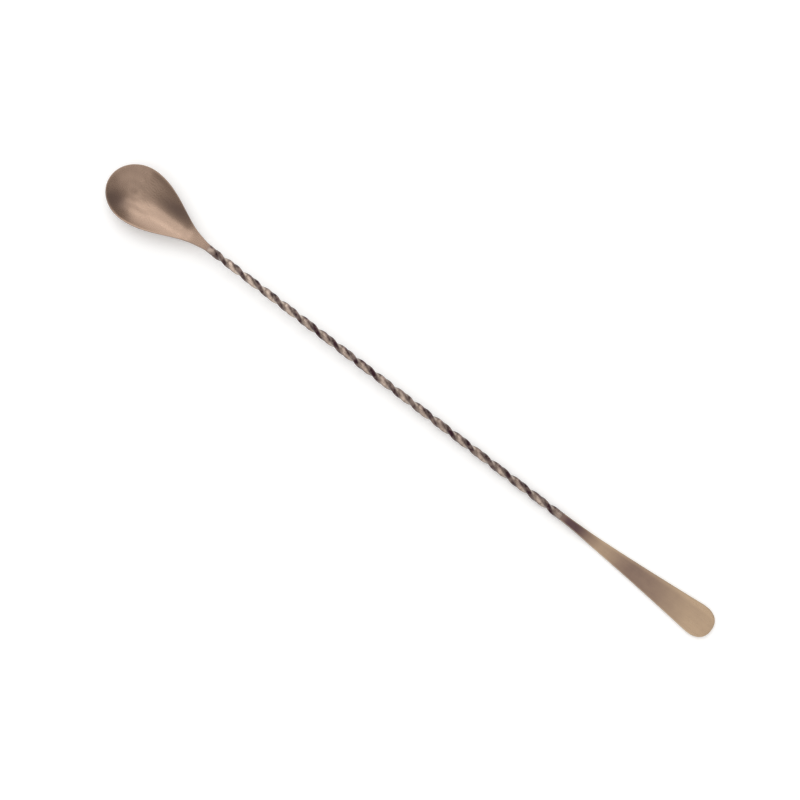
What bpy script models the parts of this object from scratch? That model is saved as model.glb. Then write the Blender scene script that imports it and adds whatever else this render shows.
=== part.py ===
"""Bar spoon, 300 mm long: a teardrop bowl, a twisted flat-bar stem and a rounded paddle.

The stem has a round spigot at each end. One sits in a blind socket in the bowl's neck, the other in
the paddle's root, and a ring of braze filler lies between each pair of shoulders.
The spoon lies as it does on a bar top: on the underside of its bowl and on the flat of its paddle.
"""

import math

import bmesh
import bpy
from mathutils import Matrix, Vector

MM = 0.001

# Driving dimensions, in millimetres. X runs along the spoon from bowl to paddle.
OVERALL_LENGTH = 300.0
BOWL_TIP_X = -OVERALL_LENGTH / 2
PADDLE_TIP_X = OVERALL_LENGTH / 2

BAR_WIDTH = 2.95
BAR_HEIGHT = 2.0
BAR_CORNER_RADIUS = 0.3
TWIST_START_X = -97.5
TWIST_TURNS = 9
TWIST_PITCH = 19.22
TWIST_EASE_LENGTH = 2.0
STRAIGHT_BAR_LENGTH = 0.6
STEPS_PER_TURN = 16

BOWL_HALF_WIDTH = 12.3
BOWL_NOSE_LENGTH = 14.0
BOWL_FLANK_LENGTH = 30.5
BOWL_FLANK_FULLNESS = 0.7
BOWL_OUTER_DEPTH = 6.2
BOWL_SHEET = 1.0
RIM_LAND = 0.4
RIM_EDGE_HEIGHT = 0.5
NECK_HALF_WIDTH_AT_BOWL = 2.5

PADDLE_HALF_WIDTH = 7.1
PADDLE_THICKNESS = 1.2
PADDLE_FLARE_START_X = 80.0
PADDLE_FLARE_CURVE = 1.29
PADDLE_FLAT_START_X = 97.0
PADDLE_ROUND_LENGTH = 8.8
PADDLE_ROUND_CURVE = 2.3

SPIGOT_RADIUS = 0.6
SPIGOT_LENGTH = 4.0
SOCKET_RADIUS = 0.85
SOCKET_DEPTH = 4.5
BRAZE_LENGTH = 0.6
JOINT_GAP = 0.25

# The stem's axis is this high above the table where it meets the paddle.
PADDLE_END_AXIS_HEIGHT = 2.0

TWIST_END_X = TWIST_START_X + TWIST_TURNS * TWIST_PITCH
STEM_START_X = TWIST_START_X - TWIST_EASE_LENGTH / 2 - STRAIGHT_BAR_LENGTH
STEM_END_X = TWIST_END_X + TWIST_EASE_LENGTH / 2 + STRAIGHT_BAR_LENGTH
JOINT_LENGTH = BRAZE_LENGTH + 2 * JOINT_GAP
NECK_END_X = STEM_START_X - JOINT_LENGTH
PADDLE_START_X = STEM_END_X + JOINT_LENGTH
BOWL_WIDEST_X = BOWL_TIP_X + BOWL_NOSE_LENGTH
BOWL_BOTTOM_Z = BAR_HEIGHT / 2 - BOWL_OUTER_DEPTH

# The stem slopes so that the bowl's underside and the paddle's flat both touch the table.
REST_SLOPE = math.asin(
    (-BOWL_BOTTOM_Z - PADDLE_END_AXIS_HEIGHT) / (STEM_END_X - BOWL_WIDEST_X)
)
AXIS_HEIGHT_AT_ORIGIN = PADDLE_END_AXIS_HEIGHT + STEM_END_X * math.sin(REST_SLOPE)


def clear_scene():
    for old_object in list(bpy.data.objects):
        bpy.data.objects.remove(old_object, do_unlink=True)


def new_collection(name):
    collection = bpy.data.collections.new(name)
    bpy.context.scene.collection.children.link(collection)
    return collection


def metal(name, colour, roughness):
    material = bpy.data.materials.new(name)
    material.use_nodes = True
    shader = material.node_tree.nodes["Principled BSDF"]
    shader.inputs["Base Color"].default_value = (*colour, 1.0)
    shader.inputs["Roughness"].default_value = roughness
    shader.inputs["Metallic"].default_value = 1.0
    return material


def add_object(name, bm, material, collection, parent):
    """Makes an object from a mesh built in millimetres."""
    bmesh.ops.holes_fill(bm, edges=bm.edges)
    bmesh.ops.scale(bm, vec=(MM, MM, MM), verts=bm.verts)
    bmesh.ops.recalc_face_normals(bm, faces=bm.faces)
    mesh = bpy.data.meshes.new(name)
    bm.to_mesh(mesh)
    bm.free()
    mesh.shade_smooth()
    mesh.set_sharp_from_angle(angle=math.radians(35))
    if material:
        mesh.materials.append(material)
    new_object = bpy.data.objects.new(name, mesh)
    new_object.parent = parent
    collection.objects.link(new_object)
    return new_object


def add_cutter(name, x_start, x_end, radius):
    """A round bar along the stem's axis that cuts a socket or adds a spigot."""
    bm = bmesh.new()
    bmesh.ops.create_cone(
        bm, cap_ends=True, segments=16, radius1=radius, radius2=radius, depth=x_end - x_start
    )
    turn = Matrix.Rotation(math.radians(90), 4, "Y")
    move = Matrix.Translation(((x_start + x_end) / 2, 0, 0))
    bmesh.ops.transform(bm, matrix=move @ turn, verts=bm.verts)
    cutter = add_object(name, bm, None, cutters, stem_axis)
    cutter.hide_render = True
    cutter.display_type = "WIRE"
    return cutter


def combine(target, cutter, operation):
    boolean = target.modifiers.new(cutter.name, "BOOLEAN")
    boolean.operation = operation
    boolean.solver = "EXACT"
    boolean.object = cutter


def loft(rings):
    """A closed solid through rings of equal point counts, capped at both ends."""
    bm = bmesh.new()
    loops = [[bm.verts.new(point) for point in ring] for ring in rings]
    count = len(loops[0])
    for near, far in zip(loops, loops[1:]):
        for i in range(count):
            j = (i + 1) % count
            bm.faces.new((near[i], near[j], far[j], far[i]))
    bm.faces.new(reversed(loops[0]))
    bm.faces.new(loops[-1])
    return bm


def blend(x, start, end):
    """0 before start, 1 after end, and a smooth curve between."""
    t = min(max((x - start) / (end - start), 0.0), 1.0)
    return t * t * (3 - 2 * t)


def rounded_bar_outline(half_width, half_height, radius, corner_steps=2):
    """Points (y, z) around a rectangle with round corners."""
    points = []
    for corner in range(4):
        side_y = 1 if corner in (0, 3) else -1
        side_z = 1 if corner in (0, 1) else -1
        for step in range(corner_steps + 1):
            angle = math.radians(90) * (corner + step / corner_steps)
            y = side_y * (half_width - radius) + radius * math.cos(angle)
            z = side_z * (half_height - radius) + radius * math.sin(angle)
            points.append((y, z))
    return points


def bar_section(bm, x):
    """One face across the bar at x."""
    outline = rounded_bar_outline(BAR_WIDTH / 2, BAR_HEIGHT / 2, BAR_CORNER_RADIUS)
    return bm.faces.new([bm.verts.new((x, y, z)) for y, z in outline])


# Bowl and neck


def bowl_half_width(x):
    """The teardrop outline: half an ellipse at the tip, a raised cosine down to the neck."""
    neck = NECK_HALF_WIDTH_AT_BOWL
    neck += (BAR_WIDTH / 2 - neck) * blend(x, BOWL_WIDEST_X + 29, NECK_END_X)
    if x < BOWL_WIDEST_X:
        along = (BOWL_WIDEST_X - x) / BOWL_NOSE_LENGTH
        return BOWL_HALF_WIDTH * math.sqrt(max(1 - along**2, 0.0))
    along = min((x - BOWL_WIDEST_X) / BOWL_FLANK_LENGTH, 1.0)
    bell = (0.5 + 0.5 * math.cos(math.pi * along)) ** BOWL_FLANK_FULLNESS
    return neck + (BOWL_HALF_WIDTH - neck) * bell


def hollow_half_width(x):
    """Half the width of the hollow, a rim land inside the outline."""
    shrink = (BOWL_HALF_WIDTH - RIM_LAND) / BOWL_HALF_WIDTH
    if x < BOWL_WIDEST_X:
        along = (BOWL_WIDEST_X - x) / (BOWL_NOSE_LENGTH - RIM_LAND)
        return BOWL_HALF_WIDTH * shrink * math.sqrt(max(1 - along**2, 0.0))
    return bowl_half_width(x) * shrink


def hollow_depth(x, y):
    """How far the inside lies below the rim."""
    half = hollow_half_width(x)
    if half < 1e-6 or abs(y) >= half:
        return 0.0
    power = 2.0 if x < BOWL_WIDEST_X else 1.6
    fullness = (half / (BOWL_HALF_WIDTH - RIM_LAND)) ** power
    fade = 1 - blend(x, BOWL_WIDEST_X + 22, NECK_END_X - SOCKET_DEPTH)
    deepest = BOWL_OUTER_DEPTH - BOWL_SHEET
    return deepest * fullness * fade * (1 - (y / half) ** 2)


def bowl_section(x, columns=12):
    """One closed ring across the bowl at x: the inside and rim, then the underside."""
    half = bowl_half_width(x)
    rim_z = BAR_HEIGHT / 2
    to_bar = blend(x, BOWL_WIDEST_X + 20, NECK_END_X - 3)
    power = 2.0 if x < BOWL_WIDEST_X else 1.6
    fullness = (half / BOWL_HALF_WIDTH) ** power
    bowl_belly = (BOWL_OUTER_DEPTH - RIM_EDGE_HEIGHT) * fullness
    neck_belly = (BAR_HEIGHT - RIM_EDGE_HEIGHT) * blend(x, BOWL_WIDEST_X, NECK_END_X - 8)
    belly = math.hypot(bowl_belly, neck_belly)
    belly += (BAR_HEIGHT - RIM_EDGE_HEIGHT - belly) * to_bar
    squareness = 2 + 6 * to_bar
    top = [(x, -half, rim_z)]
    for column in range(columns + 1):
        y = 0.94 * half * math.sin(math.pi * (column / columns - 0.5))
        top.append((x, y, rim_z - hollow_depth(x, y)))
    top.append((x, half, rim_z))
    bottom = []
    for column in range(columns + 1):
        across = math.sin(math.pi * (0.5 - column / columns))
        z = rim_z - RIM_EDGE_HEIGHT - belly * (1 - abs(across) ** squareness)
        bottom.append((x, half * across, z))
    return top + bottom


def bowl_stations():
    first_turn = 6
    stations = []
    for degrees in [first_turn, 14, 22, 31, 40, 50, 60, 70, 80]:
        stations.append(BOWL_WIDEST_X - BOWL_NOSE_LENGTH * math.cos(math.radians(degrees)))
    flank_steps = 22
    for step in range(flank_steps + 1):
        stations.append(BOWL_WIDEST_X + (NECK_END_X - BOWL_WIDEST_X) * step / flank_steps)
    return stations


def make_bowl():
    body = loft([bowl_section(x) for x in bowl_stations()])
    bowl = add_object("bowl", body, antique_brass, parts, stem_axis)
    socket = add_cutter("neck_socket", NECK_END_X - SOCKET_DEPTH, NECK_END_X + 1, SOCKET_RADIUS)
    combine(bowl, socket, "DIFFERENCE")


# Twisted stem


def make_stem():
    """The bar is swept along X: straight, easing into the twist, twisted, easing out, straight."""
    bm = bmesh.new()
    face = bar_section(bm, STEM_START_X)
    straight = (STRAIGHT_BAR_LENGTH, 0.0, 1)
    ease = (TWIST_EASE_LENGTH, 180.0 * TWIST_EASE_LENGTH / TWIST_PITCH, 1)
    full_length = TWIST_TURNS * TWIST_PITCH - TWIST_EASE_LENGTH
    full = (full_length, 360.0 * full_length / TWIST_PITCH, TWIST_TURNS * STEPS_PER_TURN)
    for length, degrees, steps in (straight, ease, full, ease, straight):
        turn = Matrix.Rotation(math.radians(degrees / steps), 4, "X")
        for _ in range(steps):
            extruded = bmesh.ops.extrude_discrete_faces(bm, faces=[face])
            face = extruded["faces"][0]
            bmesh.ops.transform(bm, matrix=turn, verts=face.verts)
            bmesh.ops.translate(bm, vec=(length / steps, 0, 0), verts=face.verts)
    stem = add_object("twisted_stem", bm, twisted_brass, parts, stem_axis)
    overlap = 1.0
    reach = JOINT_LENGTH + SPIGOT_LENGTH
    neck_spigot = add_cutter(
        "neck_spigot", STEM_START_X - reach, STEM_START_X + overlap, SPIGOT_RADIUS
    )
    paddle_spigot = add_cutter(
        "paddle_spigot", STEM_END_X - overlap, STEM_END_X + reach, SPIGOT_RADIUS
    )
    combine(stem, neck_spigot, "UNION")
    combine(stem, paddle_spigot, "UNION")


def make_braze_ring(name, x_start):
    """A thin slice of filler with the bar's own outline and a hole for the spigot."""
    bm = bmesh.new()
    face = bar_section(bm, x_start)
    extruded = bmesh.ops.extrude_discrete_faces(bm, faces=[face])
    bmesh.ops.translate(bm, vec=(BRAZE_LENGTH, 0, 0), verts=extruded["faces"][0].verts)
    ring = add_object(name, bm, braze_filler, parts, stem_axis)
    hole = add_cutter(name + "_hole", x_start - 1, x_start + BRAZE_LENGTH + 1, SOCKET_RADIUS)
    combine(ring, hole, "DIFFERENCE")


# Paddle


def paddle_half_width(x):
    """A flare from the bar's width, closed by a rounded end."""
    flare = max((x - PADDLE_FLARE_START_X) / (PADDLE_TIP_X - PADDLE_FLARE_START_X), 0.0)
    half = BAR_WIDTH / 2 + (PADDLE_HALF_WIDTH - BAR_WIDTH / 2) * flare**PADDLE_FLARE_CURVE
    rounding = max((x - PADDLE_TIP_X + PADDLE_ROUND_LENGTH) / PADDLE_ROUND_LENGTH, 0.0)
    return half * (1 - rounding**PADDLE_ROUND_CURVE) ** (1 / PADDLE_ROUND_CURVE)


def paddle_section(x):
    """The bar's outline at the root, a thin plate with its underside on the table beyond."""
    flattened = blend(x, PADDLE_START_X + 2, PADDLE_FLAT_START_X)
    thickness = BAR_HEIGHT + (PADDLE_THICKNESS - BAR_HEIGHT) * flattened
    root_middle = PADDLE_END_AXIS_HEIGHT - (x - STEM_END_X) * math.tan(REST_SLOPE)
    middle = root_middle + (PADDLE_THICKNESS / 2 - root_middle) * flattened
    half = paddle_half_width(x)
    corner = min(BAR_CORNER_RADIUS, 0.5 * half)
    outline = rounded_bar_outline(half, thickness / 2, corner)
    return [(x, y, middle + z) for y, z in outline]


def paddle_stations():
    stations = [PADDLE_START_X, PADDLE_START_X + 2]
    flare_steps = 14
    round_start = PADDLE_TIP_X - PADDLE_ROUND_LENGTH
    for step in range(1, flare_steps + 1):
        stations.append(stations[1] + (round_start - stations[1]) * step / flare_steps)
    for degrees in range(15, 85, 9):
        stations.append(round_start + PADDLE_ROUND_LENGTH * math.sin(math.radians(degrees)))
    return stations + [PADDLE_TIP_X - 0.02]


def make_paddle():
    body = loft([paddle_section(x) for x in paddle_stations()])
    paddle = add_object("paddle", body, paddle_brass, parts, None)
    socket = add_cutter(
        "paddle_socket", PADDLE_START_X - 1, PADDLE_START_X + SOCKET_DEPTH, SOCKET_RADIUS
    )
    combine(paddle, socket, "DIFFERENCE")


clear_scene()
parts = new_collection("bar_spoon")
cutters = new_collection("bar_spoon_cutters")

antique_brass = metal("antique_brass", (0.36, 0.25, 0.19), 0.36)
twisted_brass = metal("twisted_brass", (0.27, 0.19, 0.16), 0.38)
paddle_brass = metal("paddle_brass", (0.40, 0.29, 0.20), 0.36)
braze_filler = metal("braze_filler", (0.22, 0.16, 0.14), 0.45)

stem_axis = bpy.data.objects.new("stem_axis", None)
stem_axis.location = Vector((0, 0, AXIS_HEIGHT_AT_ORIGIN)) * MM
stem_axis.rotation_euler = (0, REST_SLOPE, 0)
parts.objects.link(stem_axis)

make_bowl()
make_stem()
make_braze_ring("neck_braze", NECK_END_X + JOINT_GAP)
make_braze_ring("paddle_braze", STEM_END_X + JOINT_GAP)
make_paddle()
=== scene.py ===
import math

import bmesh
import bpy
from mathutils import Matrix, Vector


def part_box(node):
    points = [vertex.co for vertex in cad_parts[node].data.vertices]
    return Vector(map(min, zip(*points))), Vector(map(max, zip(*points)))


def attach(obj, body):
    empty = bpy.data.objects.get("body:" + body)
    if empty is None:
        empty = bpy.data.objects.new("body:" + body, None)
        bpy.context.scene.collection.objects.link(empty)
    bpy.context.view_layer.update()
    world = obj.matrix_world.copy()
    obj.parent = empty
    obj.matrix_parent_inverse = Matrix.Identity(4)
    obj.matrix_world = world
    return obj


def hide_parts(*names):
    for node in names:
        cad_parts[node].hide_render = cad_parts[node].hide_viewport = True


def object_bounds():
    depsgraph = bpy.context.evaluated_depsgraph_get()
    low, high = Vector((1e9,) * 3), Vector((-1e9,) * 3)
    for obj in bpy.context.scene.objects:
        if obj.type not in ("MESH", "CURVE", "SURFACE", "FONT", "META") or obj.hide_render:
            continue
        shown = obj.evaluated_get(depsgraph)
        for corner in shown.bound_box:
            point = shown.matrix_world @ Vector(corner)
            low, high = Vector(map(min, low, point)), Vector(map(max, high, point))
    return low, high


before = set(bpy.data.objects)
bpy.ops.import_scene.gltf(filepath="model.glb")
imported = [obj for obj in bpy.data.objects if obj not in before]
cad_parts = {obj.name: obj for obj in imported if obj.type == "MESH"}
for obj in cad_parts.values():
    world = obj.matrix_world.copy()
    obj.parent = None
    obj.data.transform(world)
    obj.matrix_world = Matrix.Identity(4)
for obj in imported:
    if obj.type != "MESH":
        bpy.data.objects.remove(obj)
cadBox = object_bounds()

mm = 0.001
print("frame loaded: %d nodes" % len(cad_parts))


# Where things are, read from the frame

def boxMiddle(node):
    low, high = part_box(node)
    return (Vector(low) + Vector(high)) / 2


neckJoint = boxMiddle("neck_braze")
paddleJoint = boxMiddle("paddle_braze")
axisSlope = math.atan2(neckJoint.z - paddleJoint.z, paddleJoint.x - neckJoint.x)
axisLength = (paddleJoint - neckJoint).length
bowlLow, bowlHigh = (Vector(corner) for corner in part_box("bowl"))
paddleLow, paddleHigh = (Vector(corner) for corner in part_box("paddle"))
ringLow, ringHigh = (Vector(corner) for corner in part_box("neck_braze"))

# The spoon's own axes: x along the stem from the neck joint, z square to it
spoonAxes = Matrix.Translation(neckJoint) @ Matrix.Rotation(axisSlope, 4, "Y")

bar = {
    "width": ringHigh.y - ringLow.y,
    "height": 2.0 * mm,
    "cornerRadius": 0.3 * mm,
    "fillerLength": 0.4 * mm,  # what shows of the filler between two shoulders
    "cadGap": 0.25 * mm,  # clearance beside each filler ring in the frame
    "spigotRadius": 0.6 * mm,
    "spigotLength": 4.0 * mm,
    "socketRadius": 0.68 * mm,
    "socketDepth": 4.4 * mm,
}


# Mesh helpers

def smoothStep(x, start, end):
    t = min(max((x - start) / (end - start), 0.0), 1.0)
    return t * t * (3 - 2 * t)


def spread(start, end, steps):
    return [start + (end - start) * step / steps for step in range(steps + 1)]


def bridge(bm, near, far, closed=True):
    # Faces between two rows of points; where both rows share a point the face is a triangle
    count = len(near)
    for i in range(count if closed else count - 1):
        j = (i + 1) % count
        corners = list(dict.fromkeys([near[i], near[j], far[j], far[i]]))
        if len(corners) > 2:
            bm.faces.new(corners)


def addRoundEnd(bm, ring, x, z, radius, length):
    # A round spigot or a round socket that starts in the end face of the ring
    lastRing = ring
    for offset, size in ((0.0, radius), (length, radius), (length, radius * 0.4)):
        nextRing = []
        for vert in ring:
            angle = math.atan2(vert.co.z - z, vert.co.y)
            place = (x + offset, size * math.cos(angle), z + size * math.sin(angle))
            nextRing.append(bm.verts.new(place))
        bridge(bm, lastRing, nextRing)
        lastRing = nextRing
    bm.faces.new(lastRing)


def makePiece(name, bm, place, node, material):
    bmesh.ops.recalc_face_normals(bm, faces=bm.faces)
    bmesh.ops.transform(bm, matrix=place, verts=bm.verts)
    mesh = bpy.data.meshes.new(name)
    bm.to_mesh(mesh)
    bm.free()
    mesh.shade_smooth()
    mesh.set_sharp_from_angle(angle=math.radians(50))
    mesh.materials.append(material)
    piece = bpy.data.objects.new(name, mesh)
    bpy.context.scene.collection.objects.link(piece)
    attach(piece, "root")
    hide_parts(node)
    print("%s: %d faces" % (name, len(mesh.polygons)))
    return piece


def markLayers(bm):
    # Per-point marks that the materials read: worn bright, and dark where toned and where shade is
    # painted
    return [bm.verts.layers.float.new(name) for name in ("rubbed", "tonedAndShade")]


def pressedBlank(bm, endSections, stations, toneAndShadeAt):
    # endSections fan round the rounded end, from the +Y side to the -Y side, and share their first
    # and last points. stations are the sections from there to the joint, as whole rings.
    # Every section is a list of points from the middle of the top, round the rim, to the middle
    # of the underside.
    rubbedLayer, tonedAndShadeLayer = markLayers(bm)

    def newVert(point):
        vert = bm.verts.new(point[:3])
        vert[rubbedLayer] = point[3]
        vert[tonedAndShadeLayer] = toneAndShadeAt(point[0], point[1])
        return vert

    topPole = newVert(endSections[0][0])
    lowPole = newVert(endSections[0][-1])
    fan = []
    for section in endSections:
        fan.append([topPole] + [newVert(point) for point in section[1:-1]] + [lowPole])
    for near, far in zip(fan, fan[1:]):
        bridge(bm, near, far, closed=False)
    lastRing = fan[0] + fan[-1][-2:0:-1]
    for section in stations:
        half = [newVert(point) for point in section]
        mirrored = [newVert((x, -y, z, worn)) for x, y, z, worn in section[-2:0:-1]]
        ring = half + mirrored
        bridge(bm, lastRing, ring)
        lastRing = ring
    return lastRing


def roundedSection(half, rimRadius, topAt, underAt, rows, roundSteps=5):
    # (share of the half width, height, rubbed) from the middle of the top to the middle of the
    # underside, with the rim rounded over by rimRadius
    inner = 1 - rimRadius / half
    section = [(inner * share, topAt(inner * share), 0.0) for share in rows]
    for step in range(1, roundSteps + 1):
        angle = math.pi / 2 * step / roundSteps
        share = inner + (1 - inner) * math.sin(angle)
        section.append((share, topAt(share) - rimRadius * (1 - math.cos(angle)), 1.0))
    for step in range(roundSteps):
        angle = math.pi / 2 * (1 - step / roundSteps)
        share = inner + (1 - inner) * math.sin(angle)
        section.append((share, underAt(share) + rimRadius * (1 - math.cos(angle)), 1.0))
    section += [(inner * share, underAt(inner * share), 0.0) for share in reversed(rows)]
    return section


# Shader node groups

def newGroup(name, inputs, outputs):
    group = bpy.data.node_groups.new(name, "ShaderNodeTree")
    for title, kind, value in inputs:
        socket = group.interface.new_socket(title, in_out="INPUT", socket_type=kind)
        socket.default_value = value
    for title, kind in outputs:
        group.interface.new_socket(title, in_out="OUTPUT", socket_type=kind)
    source = group.nodes.new("NodeGroupInput")
    sink = group.nodes.new("NodeGroupOutput")
    return group, source, sink


def addNode(tree, kind, **settings):
    node = tree.nodes.new(kind)
    for key, value in settings.items():
        setattr(node, key, value)
    return node


def addMath(tree, operation, first, second=None, clamp=False):
    node = addNode(tree, "ShaderNodeMath", operation=operation, use_clamp=clamp)
    for index, value in enumerate((first, second)):
        if value is None:
            continue
        if isinstance(value, (int, float)):
            node.inputs[index].default_value = value
        else:
            tree.links.new(value, node.inputs[index])
    return node.outputs[0]


def addRange(tree, value, fromLow, fromHigh, toLow, toHigh):
    node = addNode(tree, "ShaderNodeMapRange", interpolation_type="SMOOTHSTEP")
    tree.links.new(value, node.inputs["Value"])
    node.inputs["From Min"].default_value = fromLow
    node.inputs["From Max"].default_value = fromHigh
    node.inputs["To Min"].default_value = toLow
    node.inputs["To Max"].default_value = toHigh
    return node.outputs["Result"]


def buildBrushedGrain():
    # Fine lines along the spoon, left by the finishing wheel
    group, source, sink = newGroup(
        "brushedGrain",
        [("Line Scale", "NodeSocketFloat", 1.0), ("Stretch", "NodeSocketFloat", 0.03)],
        [("Lines", "NodeSocketFloat"), ("Streaks", "NodeSocketFloat")],
    )
    place = addNode(group, "ShaderNodeTexCoord")
    stretch = addNode(group, "ShaderNodeCombineXYZ")
    group.links.new(source.outputs["Stretch"], stretch.inputs["X"])
    stretch.inputs["Y"].default_value = 1.0
    stretch.inputs["Z"].default_value = 1.0
    squeezed = addNode(group, "ShaderNodeVectorMath", operation="MULTIPLY")
    group.links.new(place.outputs["Object"], squeezed.inputs[0])
    group.links.new(stretch.outputs[0], squeezed.inputs[1])
    sized = addNode(group, "ShaderNodeVectorMath", operation="SCALE")
    group.links.new(squeezed.outputs[0], sized.inputs[0])
    group.links.new(source.outputs["Line Scale"], sized.inputs["Scale"])
    for title, scale, detail in (("Lines", 9000.0, 3.0), ("Streaks", 1500.0, 4.0)):
        noise = addNode(group, "ShaderNodeTexNoise")
        noise.inputs["Scale"].default_value = scale
        noise.inputs["Detail"].default_value = detail
        group.links.new(sized.outputs[0], noise.inputs["Vector"])
        group.links.new(noise.outputs["Fac"], sink.inputs[title])
    return group


def buildPatinaAndShade():
    # Toning of the antique finish and painted shade: dark where the points are marked, cloudy
    # elsewhere, with tiny specks; the marks hold painted shade as well as toning
    group, source, sink = newGroup(
        "patina",
        [("Cloud Size", "NodeSocketFloat", 1.0), ("Amount", "NodeSocketFloat", 0.5)],
        [("Mask", "NodeSocketFloat"), ("Specks", "NodeSocketFloat")],
    )
    place = addNode(group, "ShaderNodeTexCoord")
    sized = addNode(group, "ShaderNodeVectorMath", operation="SCALE")
    group.links.new(place.outputs["Object"], sized.inputs[0])
    group.links.new(source.outputs["Cloud Size"], sized.inputs["Scale"])
    clouds = addNode(group, "ShaderNodeTexNoise")
    clouds.inputs["Scale"].default_value = 120.0
    clouds.inputs["Detail"].default_value = 5.0
    clouds.inputs["Roughness"].default_value = 0.6
    group.links.new(sized.outputs[0], clouds.inputs["Vector"])
    soft = addRange(group, clouds.outputs["Fac"], 0.3, 0.7, 0.0, 1.0)
    cloudy = addMath(group, "MULTIPLY", soft, source.outputs["Amount"])
    # The marks read here hold painted shade as well as toning
    marked = addNode(group, "ShaderNodeAttribute", attribute_name="tonedAndShade")
    uneven = addMath(group, "ADD", marked.outputs["Fac"], cloudy)
    average = addMath(group, "MULTIPLY", source.outputs["Amount"], 0.5)
    mask = addMath(group, "SUBTRACT", uneven, average, clamp=True)
    group.links.new(mask, sink.inputs["Mask"])
    dots = addNode(group, "ShaderNodeTexNoise")
    dots.inputs["Scale"].default_value = 1600.0
    dots.inputs["Detail"].default_value = 2.0
    group.links.new(sized.outputs[0], dots.inputs["Vector"])
    specks = addRange(group, dots.outputs["Fac"], 0.62, 0.75, 0.0, 1.0)
    group.links.new(specks, sink.inputs["Specks"])
    return group


def buildEdgeWear():
    # Where hands and cloths have rubbed the toning off: along rims and corners, broken up by noise
    group, source, sink = newGroup(
        "edgeWear",
        [("Amount", "NodeSocketFloat", 0.6), ("Breakup", "NodeSocketFloat", 0.4)],
        [("Wear", "NodeSocketFloat")],
    )
    marked = addNode(group, "ShaderNodeAttribute", attribute_name="rubbed")
    place = addNode(group, "ShaderNodeTexCoord")
    noise = addNode(group, "ShaderNodeTexNoise")
    noise.inputs["Scale"].default_value = 700.0
    noise.inputs["Detail"].default_value = 3.0
    group.links.new(place.outputs["Object"], noise.inputs["Vector"])
    gaps = addMath(group, "MULTIPLY", noise.outputs["Fac"], source.outputs["Breakup"])
    kept = addMath(group, "SUBTRACT", marked.outputs["Fac"], gaps, clamp=True)
    worn = addMath(group, "MULTIPLY", kept, source.outputs["Amount"], clamp=True)
    group.links.new(worn, sink.inputs["Wear"])
    return group


grainGroup = buildBrushedGrain()
patinaAndShadeGroup = buildPatinaAndShade()
wearGroup = buildEdgeWear()


def placeGroup(tree, group, **values):
    node = addNode(tree, "ShaderNodeGroup", node_tree=group)
    for title, value in values.items():
        node.inputs[title.replace("_", " ")].default_value = value
    return node


def mixColours(tree, factor, first, second):
    mix = addNode(tree, "ShaderNodeMix", data_type="RGBA")
    tree.links.new(factor, mix.inputs["Factor"])
    for title, value in (("A", first), ("B", second)):
        socket = next(s for s in mix.inputs if s.name == title and s.type == "RGBA")
        if isinstance(value, tuple):
            socket.default_value = (*value, 1.0)
        else:
            tree.links.new(value, socket)
    return next(s for s in mix.outputs if s.type == "RGBA")


def antiqueBrass(name, look):
    material = bpy.data.materials.new(name)
    material.use_nodes = True
    tree = material.node_tree
    shader = tree.nodes["Principled BSDF"]
    shader.inputs["Metallic"].default_value = 1.0
    grain = placeGroup(tree, grainGroup, Line_Scale=look["lineScale"], Stretch=look["stretch"])
    # The patina group's mask holds painted shade as well as toning and clouds
    patina = placeGroup(tree, patinaAndShadeGroup, Cloud_Size=look["cloudSize"], Amount=look["patina"])
    wear = placeGroup(tree, wearGroup, Amount=look["wear"], Breakup=look["breakup"])
    streaks = addRange(tree, grain.outputs["Streaks"], 0.4, 0.75, 0.0, look["streaks"])
    specks = addMath(tree, "MULTIPLY", patina.outputs["Specks"], look["specks"])
    # The dark colour goes in where toned and where shade is painted
    colour = mixColours(tree, patina.outputs["Mask"], look["metal"], look["tonedAndShade"])
    colour = mixColours(tree, streaks, colour, look["tonedAndShade"])
    colour = mixColours(tree, wear.outputs["Wear"], colour, look["bright"])
    colour = mixColours(tree, specks, colour, look["tonedAndShade"])
    tree.links.new(colour, shader.inputs["Base Color"])
    smoothest = look["roughness"] - 0.04
    roughest = look["roughness"] + 0.05
    lines = addRange(tree, grain.outputs["Lines"], 0.3, 0.7, smoothest, roughest)
    dulled = addMath(tree, "MULTIPLY", patina.outputs["Mask"], 0.08)
    tree.links.new(addMath(tree, "ADD", lines, dulled), shader.inputs["Roughness"])
    bump = addNode(tree, "ShaderNodeBump")
    bump.inputs["Strength"].default_value = look["bump"]
    bump.inputs["Distance"].default_value = 0.01 * mm
    tree.links.new(grain.outputs["Lines"], bump.inputs["Height"])
    tree.links.new(bump.outputs["Normal"], shader.inputs["Normal"])
    return material


# Bowl and neck: one pressed piece

bowl = {
    "noseLength": 14.0 * mm,
    "flankLength": 30.5 * mm,
    "flankFullness": 0.7,
    "outerDepth": 6.2 * mm,
    "sheet": 1.0 * mm,
    "rimLand": 0.4 * mm,
    "rimEdge": 0.5 * mm,
    "rimRadius": 0.22 * mm,
    "neckHalfWidth": 2.5 * mm,
    "crownPower": 1.6,  # how fast the depth falls as the bowl narrows
    # Where the neck starts to change, from the widest place
    "barShapeStart": 20.0 * mm,
    "hollowFadeStart": 22.0 * mm,
    "neckTaperStart": 29.0 * mm,
    "noseSteps": 72,
    "flankSteps": 130,
    "rows": 44,
}

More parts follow.
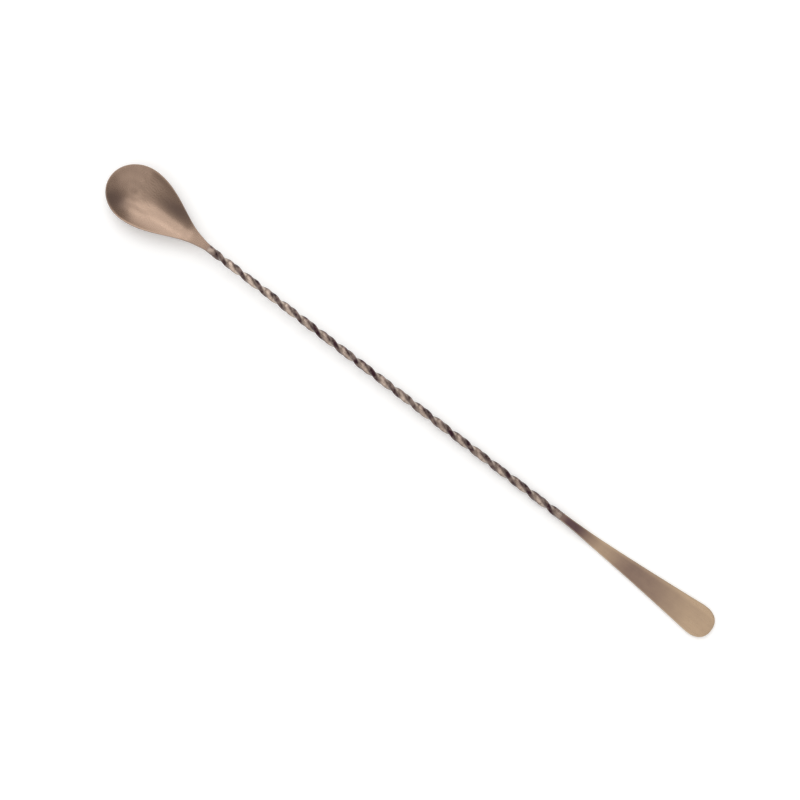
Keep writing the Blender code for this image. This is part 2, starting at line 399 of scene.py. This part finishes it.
bowlLook = {
    "metal": (0.295, 0.213, 0.163),
    "tonedAndShade": (0.09, 0.064, 0.062),
    "bright": (0.36, 0.28, 0.22),
    "roughness": 0.27,
    "lineScale": 1.0,
    "stretch": 0.03,
    "cloudSize": 1.0,
    "patina": 0.03,
    "streaks": 0.02,
    "specks": 0.04,
    "wear": 0.3,
    "breakup": 0.5,
    "bump": 0.05,
    "tonedEnd": 0.2,
    # Painted shade for dark reflections inside the bowl: distance from the tip, side, length and
    # width of each
    "paintedShadePlaces": (
        (7.0 * mm, -7.5 * mm, 8.0 * mm, 6.0 * mm),
        (31.0 * mm, 5.0 * mm, 13.0 * mm, 4.0 * mm),
    ),
    "paintedShadeDepth": 0.5,
}


def makeBowl():
    halfWidth = (bowlHigh.y - bowlLow.y) / 2
    tipX = -(neckJoint.x - bowlLow.x) / math.cos(axisSlope)
    widestX = tipX + bowl["noseLength"]
    endX = -bar["fillerLength"] / 2
    rimZ = bar["height"] / 2
    hollowShare = 1 - bowl["rimLand"] / halfWidth

    def halfWidthAt(x):
        neck = bowl["neckHalfWidth"]
        neck += (bar["width"] / 2 - neck) * smoothStep(x, widestX + bowl["neckTaperStart"], endX)
        along = min((x - widestX) / bowl["flankLength"], 1.0)
        bell = (0.5 + 0.5 * math.cos(math.pi * along)) ** bowl["flankFullness"]
        return neck + (halfWidth - neck) * bell

    def halfSection(x):
        half = halfWidthAt(x)
        toBar = smoothStep(x, widestX + bowl["barShapeStart"], endX - 3 * mm)
        full = (half / halfWidth) ** bowl["crownPower"]
        depth = (bowl["outerDepth"] - bowl["sheet"]) * full
        depth *= 1 - smoothStep(x, widestX + bowl["hollowFadeStart"], endX - bar["socketDepth"])
        edge = bowl["rimEdge"] + (bar["height"] - bar["cornerRadius"] - bowl["rimEdge"]) * toBar
        barDepth = (bar["height"] - bowl["rimEdge"]) * smoothStep(x, widestX, endX - 8 * mm)
        belly = math.hypot((bowl["outerDepth"] - bowl["rimEdge"]) * full, barDepth)
        belly += (bar["height"] - edge - belly) * toBar
        squareness = 2 + 6 * toBar
        rimRadius = bowl["rimRadius"] + (bar["cornerRadius"] - bowl["rimRadius"]) * toBar

        def topAt(share):
            # The hollow meets the rim's land in a small round instead of a crease
            hollow = 1 - (share / hollowShare) ** 2
            return rimZ - depth * 0.5 * (hollow + math.sqrt(hollow**2 + 0.002) - 0.001)

        def underAt(share):
            return rimZ - edge - belly * (1 - share**squareness)

        rows = spread(0.0, 1.0, bowl["rows"])
        return half, roundedSection(half, rimRadius, topAt, underAt, rows)

    noseHalf, noseSection = halfSection(widestX)
    endSections = []
    for angle in spread(0.0, math.pi, bowl["noseSteps"]):
        endSections.append([
            (
                widestX - share * bowl["noseLength"] * math.sin(angle),
                share * noseHalf * math.cos(angle),
                z,
                rubbed,
            )
            for share, z, rubbed in noseSection
        ])
    stations = []
    for x in spread(widestX, endX, bowl["flankSteps"])[1:]:
        half, section = halfSection(x)
        stations.append([(x, share * half, z, rubbed) for share, z, rubbed in section])

    def toneAndShadeAt(x, y):
        # Toned at the joint end, and painted shade at the dark places inside the bowl
        tonedAndShade = bowlLook["tonedEnd"] * smoothStep(x, endX - 3 * mm, endX + 0.5 * mm)
        for fromTip, side, length, width in bowlLook["paintedShadePlaces"]:
            away = math.hypot((x - tipX - fromTip) / length, (y - side) / width)
            tonedAndShade += bowlLook["paintedShadeDepth"] * (1 - smoothStep(away, 0.1, 1.0))
        return tonedAndShade

    bm = bmesh.new()
    ring = pressedBlank(bm, endSections, stations, toneAndShadeAt)
    addRoundEnd(bm, ring, endX, 0.0, bar["socketRadius"], -bar["socketDepth"])
    material = antiqueBrass("bowlBrass", bowlLook)
    return makePiece("spoonBowl", bm, spoonAxes, "bowl", material)


makeBowl()


# Twisted stem

twist = {
    "turns": 9,
    "straight": 0.6 * mm,  # straight bar between each shoulder and the twist
    "ease": 2.0 * mm,  # length in which the twist sets in
    "stepsPerTurn": 48,
    "cornerSteps": 5,
    "faceSteps": 6,
}

stemLook = {
    "metal": (0.56, 0.46, 0.385),
    "tonedAndShade": (0.035, 0.015, 0.021),
    "bright": (0.46, 0.39, 0.34),
    "roughness": 0.26,
    "lineScale": 1.0,
    "stretch": 0.05,
    "cloudSize": 3.0,
    "patina": 0.45,
    "streaks": 0.20,
    "specks": 0.12,
    "wear": 0.15,
    "breakup": 0.6,
    "bump": 0.2,
    # Painted shade on the bar's faces and along the stem, for dark reflections
    "paintedShadeEdge": 0.82,
    "paintedShadeWide": 0.8,
    "paintedShadeThin": 0.5,
    "paintedShadeMiddle": 0.28,  # more of it from the middle of the stem on
    "paintedShadeShoulder": 0.4,
    "paintedShadeNeck": 0.85,  # darkest just past the shoulder
    "paintedShadePaddleEnd": 0.35,
}


def barOutline(width, height, radius):
    # (y, z, rubbed) round the bar, with points along its flat faces too
    points = []
    for corner in range(4):
        sideY = 1 if corner in (0, 3) else -1
        sideZ = 1 if corner in (0, 1) else -1
        middle = Vector((sideY * (width / 2 - radius), sideZ * (height / 2 - radius)))
        quarter = math.pi / 2
        for angle in spread(quarter * corner, quarter * (corner + 1), twist["cornerSteps"]):
            offset = Vector((math.cos(angle), math.sin(angle))) * radius
            points.append((*(middle + offset), 1.0))
    full = []
    for here, after in zip(points, points[1:] + points[:1]):
        full.append(here)
        if math.dist(here[:2], after[:2]) > radius:
            for step in range(1, twist["faceSteps"]):
                share = step / twist["faceSteps"]
                place = Vector(here[:2]).lerp(Vector(after[:2]), share)
                full.append((*place, abs(2 * share - 1) ** 3 * 0.6))
    return full


def paintedShadeAround(y, z):
    # Painted shade for dark reflections on the twist: the narrow faces are darkened, and so are the
    # borders of the wide ones, one more than the other
    side = math.copysign(y, y * z)
    edge = smoothStep(abs(y), bar["width"] / 2 - 0.2 * mm, bar["width"] / 2)
    wideBorder = smoothStep(side, -0.2 * mm, 1.0 * mm)
    thinBorder = smoothStep(-side, 0.8 * mm, 1.3 * mm)
    return max(
        stemLook["paintedShadeEdge"] * edge,
        stemLook["paintedShadeWide"] * wideBorder,
        stemLook["paintedShadeThin"] * thinBorder,
    )


def makeStem():
    startX = bar["fillerLength"] / 2
    endX = axisLength - bar["fillerLength"] / 2
    # The twist runs between the same two places as in the CAD: past the gap and the straight bar
    twistStart = (ringHigh.x - ringLow.x) / 2 + bar["cadGap"] + twist["straight"]
    twistEnd = axisLength - twistStart
    ease = twist["ease"]
    fullRate = 2 * math.pi * twist["turns"] / (twistEnd - twistStart - ease)
    outline = barOutline(bar["width"], bar["height"], bar["cornerRadius"])
    bm = bmesh.new()
    rubbedLayer, tonedAndShadeLayer = markLayers(bm)

    def turnAt(x):
        # The rate grows evenly along the ease at one end and falls again along the other
        fromStart = max(x - twistStart, 0.0)
        fromEnd = max(twistEnd - x, 0.0)
        if fromStart < ease:
            return fullRate * fromStart**2 / (2 * ease)
        if fromEnd < ease:
            return 2 * math.pi * twist["turns"] - fullRate * fromEnd**2 / (2 * ease)
        return fullRate * (fromStart - ease / 2)

    def ringAt(x):
        cosine = math.cos(turnAt(x))
        sine = math.sin(turnAt(x))
        # Painted shade near the shoulders and from the middle of the stem on
        shoulder = stemLook["paintedShadeShoulder"]
        nearNeck = shoulder + (stemLook["paintedShadeNeck"] - shoulder) * smoothStep(x, mm, 5 * mm)
        nearNeck *= 1 - smoothStep(x, 5 * mm, 10 * mm)
        nearPaddle = stemLook["paintedShadePaddleEnd"] * smoothStep(x, endX - 3 * mm, endX - mm)
        fromMiddle = stemLook["paintedShadeMiddle"] * smoothStep(x, 20 * mm, 60 * mm)
        ring = []
        for y, z, rubbed in outline:
            vert = bm.verts.new((x, y * cosine - z * sine, y * sine + z * cosine))
            vert[rubbedLayer] = rubbed
            around = max(paintedShadeAround(y, z), nearNeck, nearPaddle)
            vert[tonedAndShadeLayer] = around + (1 - around) * fromMiddle
            ring.append(vert)
        return ring

    twisted = spread(twistStart, twistEnd, twist["turns"] * twist["stepsPerTurn"])
    rings = [ringAt(x) for x in [startX] + twisted + [endX]]
    for near, far in zip(rings, rings[1:]):
        bridge(bm, near, far)
    addRoundEnd(bm, rings[0], startX, 0.0, bar["spigotRadius"], -bar["spigotLength"])
    addRoundEnd(bm, rings[-1], endX, 0.0, bar["spigotRadius"], bar["spigotLength"])
    material = antiqueBrass("stemBrass", stemLook)
    return makePiece("twistedBar", bm, spoonAxes, "twisted_stem", material)


makeStem()


# Braze filler

filler = {
    "proud": 0.03 * mm,
    "tonedAtNeck": 0.2,
    "tonedAtPaddle": 0.4,
}

fillerLook = dict(stemLook, metal=(0.30, 0.225, 0.185), roughness=0.32, patina=0.1)


def makeFiller(name, node, x, tonedAndShade):
    # A dressed ring, a hair proud of the bar, round the spigot
    bm = bmesh.new()
    tonedAndShadeLayer = markLayers(bm)[1]
    half = bar["fillerLength"] / 2
    swell = filler["proud"]
    rings = []
    for offset, proud in ((-half, 0.0), (-half * 0.4, swell), (half * 0.4, swell), (half, 0.0)):
        outline = barOutline(bar["width"] + 2 * proud, bar["height"] + 2 * proud, bar["cornerRadius"])
        ring = [bm.verts.new((x + offset, y, z)) for y, z, rubbed in outline]
        for vert in ring:
            vert[tonedAndShadeLayer] = tonedAndShade
        rings.append(ring)
    for offset in (half, -half):
        inner = []
        for vert in rings[0]:
            angle = math.atan2(vert.co.z, vert.co.y)
            radius = bar["socketRadius"]
            place = (x + offset, radius * math.cos(angle), radius * math.sin(angle))
            inner.append(bm.verts.new(place))
        rings.append(inner)
    for near, far in zip(rings, rings[1:] + rings[:1]):
        bridge(bm, near, far)
    return makePiece(name, bm, spoonAxes, node, fillerMaterial)


fillerMaterial = antiqueBrass("fillerBrass", fillerLook)
makeFiller("neckFiller", "neck_braze", 0.0, filler["tonedAtNeck"])
makeFiller("paddleFiller", "paddle_braze", axisLength, filler["tonedAtPaddle"])


# Paddle

paddle = {
    "halfWidth": 7.1 * mm,
    "thickness": 1.2 * mm,
    "flareStart": 1.82 * mm,  # this and the next from the root
    "flatStart": 18.82 * mm,
    "roundLength": 8.8 * mm,
    "roundPower": 2.3,
    "flarePower": 1.29,
    "rimRadius": 0.3 * mm,
    "crown": 0.06 * mm,  # how far the top falls to its edges
    "endSteps": 60,
    "flareSteps": 110,
    "rows": 24,
}

paddleLook = {
    "metal": (0.50, 0.375, 0.255),
    "tonedAndShade": (0.105, 0.064, 0.072),
    "bright": (0.66, 0.54, 0.38),
    "roughness": 0.30,
    "lineScale": 1.0,
    "stretch": 0.03,
    "cloudSize": 1.0,
    "patina": 0.10,
    "streaks": 0.06,
    "specks": 0.10,
    "wear": 0.35,
    "breakup": 0.5,
    "bump": 0.15,
    # Painted shade at the root, from which the bands below go
    "paintedShadeRoot": 0.75,
    # Painted shade and light along the paddle: dark near the root, a lighter band, a darker middle
    # and a light tip: start, end and change
    "paintedShadeBands": (
        (78 * mm, 81 * mm, 0.25),
        (84 * mm, 97 * mm, -0.76),
        (97 * mm, 112 * mm, 0.39),
        (115 * mm, 147 * mm, -0.55),
    ),
    # Painted light: lighter along the edge on the +Y side
    "paintedLightSide": 0.3,  # along the edge on the +Y side
}


def makePaddle():
    cadRootX = paddleLow.x
    rootX = cadRootX - bar["cadGap"] - (ringHigh.x - ringLow.x - bar["fillerLength"]) / 2
    tipX = paddleHigh.x
    middleX = tipX - paddle["roundLength"]
    flareStart = cadRootX + paddle["flareStart"]
    jointHeight = paddleJoint.z

    def halfWidthAt(x):
        flare = max((x - flareStart) / (tipX - flareStart), 0.0) ** paddle["flarePower"]
        half = bar["width"] / 2 + (paddle["halfWidth"] - bar["width"] / 2) * flare
        power = paddle["roundPower"]
        rounding = min(max((x - middleX) / paddle["roundLength"], 0.0), 1.0)
        return half * (1 - rounding**power) ** (1 / power)

    def halfSection(x):
        half = halfWidthAt(min(x, middleX))
        flattened = smoothStep(x, cadRootX + 2 * mm, cadRootX + paddle["flatStart"])
        thickness = bar["height"] + (paddle["thickness"] - bar["height"]) * flattened
        rootMiddle = jointHeight - (x - paddleJoint.x) * math.tan(axisSlope)
        middle = rootMiddle + (paddle["thickness"] / 2 - rootMiddle) * flattened

        def topAt(share):
            return middle + thickness / 2 - paddle["crown"] * flattened * share**2

        def underAt(share):
            return middle - thickness / 2

        rows = spread(0.0, 1.0, paddle["rows"])
        return half, roundedSection(half, paddle["rimRadius"], topAt, underAt, rows)

    half, section = halfSection(middleX)
    endSections = []
    for angle in spread(0.0, math.pi, paddle["endSteps"]):
        reach = math.sin(angle)
        edgeX = middleX + paddle["roundLength"] * reach
        side = 1 if angle < math.pi / 2 else -1
        edgeY = side * halfWidthAt(edgeX)
        endSections.append([
            (middleX + share * (edgeX - middleX), share * edgeY, z, rubbed)
            for share, z, rubbed in section
        ])
    stations = []
    for x in spread(middleX, rootX, paddle["flareSteps"])[1:]:
        half, section = halfSection(x)
        stations.append([(x, share * half, z, rubbed) for share, z, rubbed in section])

    def toneAndShadeAt(x, y):
        # Painted shade and light: bands along the length, lighter towards the +Y edge
        tonedAndShade = paddleLook["paintedShadeRoot"]
        for start, end, change in paddleLook["paintedShadeBands"]:
            tonedAndShade += change * smoothStep(x, start, end)
        share = y / max(halfWidthAt(x), mm)
        return tonedAndShade - paddleLook["paintedLightSide"] * smoothStep(share, 0.5, 1.0)

    bm = bmesh.new()
    ring = pressedBlank(bm, endSections, stations, toneAndShadeAt)
    addRoundEnd(bm, ring, rootX, jointHeight, bar["socketRadius"], bar["socketDepth"])
    material = antiqueBrass("paddleBrass", paddleLook)
    return makePiece("spoonPaddle", bm, Matrix.Identity(4), "paddle", material)


makePaddle()


# Floor

floorLook = {
    "colour": (0.95, 0.98, 0.99),
    "roughness": 0.7,
    "glow": 0.12,  # lit from below a little, as a light table is
    "size": 40.0,
    "drop": 0.02 * mm,
}


def makeFloor():
    place = (0, 0, cadBox[0][2] - floorLook["drop"])
    bpy.ops.mesh.primitive_plane_add(size=floorLook["size"], location=place)
    floor = bpy.context.object
    floor.name = "studioFloor"
    material = bpy.data.materials.new("paleFloor")
    material.use_nodes = True
    shader = material.node_tree.nodes["Principled BSDF"]
    shader.inputs["Base Color"].default_value = (*floorLook["colour"], 1.0)
    shader.inputs["Roughness"].default_value = floorLook["roughness"]
    shader.inputs["Specular IOR Level"].default_value = 0.2
    shader.inputs["Emission Color"].default_value = (1.0, 1.0, 1.0, 1.0)
    shader.inputs["Emission Strength"].default_value = floorLook["glow"]
    floor.data.materials.append(material)


makeFloor()


# Studio light: a dome of soft panels, brightest behind the bowl, and a dim, even surround

surround = (0.45, 0.41, 0.39)

# One ring of panels per height above the floor; the radiances go round from +X by way of +Y
# They are a least-squares result, rounded and then reduced for these wider panels
panelRings = [
    {"height": 90, "start": 0, "radiance": (0.2,)},
    {"height": 66, "start": 0, "radiance": (0.38, 0.14, 0.52, 0.48, 0.28, 0.34)},
    {"height": 42, "start": 22.5, "radiance": (0.18, 0.02, 0.86, 1.3, 0.12, 0.5, 0.56, 0.45)},
    {"height": 18, "start": 0, "radiance": (0.3, 0.3, 0.08, 1.4, 0.25, 0.1, 0.48, 0.3)},
]
panelSize = 0.78
panelDistance = 1.3


def addPanel(name, azimuth, height, radiance):
    flat = math.cos(height)
    direction = Vector((flat * math.cos(azimuth), flat * math.sin(azimuth), math.sin(height)))
    light = bpy.data.lights.new(name, "AREA")
    light.shape = "SQUARE"
    light.size = panelSize
    light.energy = radiance * math.pi * panelSize**2
    lamp = bpy.data.objects.new(name, light)
    lamp.location = direction * panelDistance
    lamp.rotation_euler = direction.to_track_quat("Z", "Y").to_euler()
    bpy.context.scene.collection.objects.link(lamp)


def makeLights():
    world = bpy.data.worlds.new("studioSurround")
    bpy.context.scene.world = world
    world.use_nodes = True
    world.node_tree.nodes["Background"].inputs["Color"].default_value = (*surround, 1.0)
    for ring in panelRings:
        count = len(ring["radiance"])
        height = math.radians(ring["height"])
        for index, radiance in enumerate(ring["radiance"]):
            azimuth = math.radians(ring["start"] + 360 * index / count)
            name = "softPanel%d_%d" % (ring["height"], index)
            addPanel(name, azimuth, height, radiance)


makeLights()


# Camera

cameraView = {
    "azimuth": 37.53,
    "elevation": 80.0,
    "distance": 0.601,
    "lens": 68.07,
    "lookAt": (-0.0009, -0.0019, 0.0027),
}


def makeCamera():
    turn = math.radians(cameraView["azimuth"])
    rise = math.radians(cameraView["elevation"])
    direction = Vector((
        math.sin(turn) * math.cos(rise),
        -math.cos(turn) * math.cos(rise),
        math.sin(rise),
    ))
    data = bpy.data.cameras.new("studioCamera")
    data.lens = cameraView["lens"]
    data.sensor_width = 36.0
    data.clip_start = 0.01
    camera = bpy.data.objects.new("studioCamera", data)
    camera.location = Vector(cameraView["lookAt"]) + direction * cameraView["distance"]
    camera.rotation_euler = direction.to_track_quat("Z", "Y").to_euler()
    bpy.context.scene.collection.objects.link(camera)
    bpy.context.scene.camera = camera


makeCamera()
bpy.context.scene.view_settings.view_transform = "Standard"
print("lights and camera set")
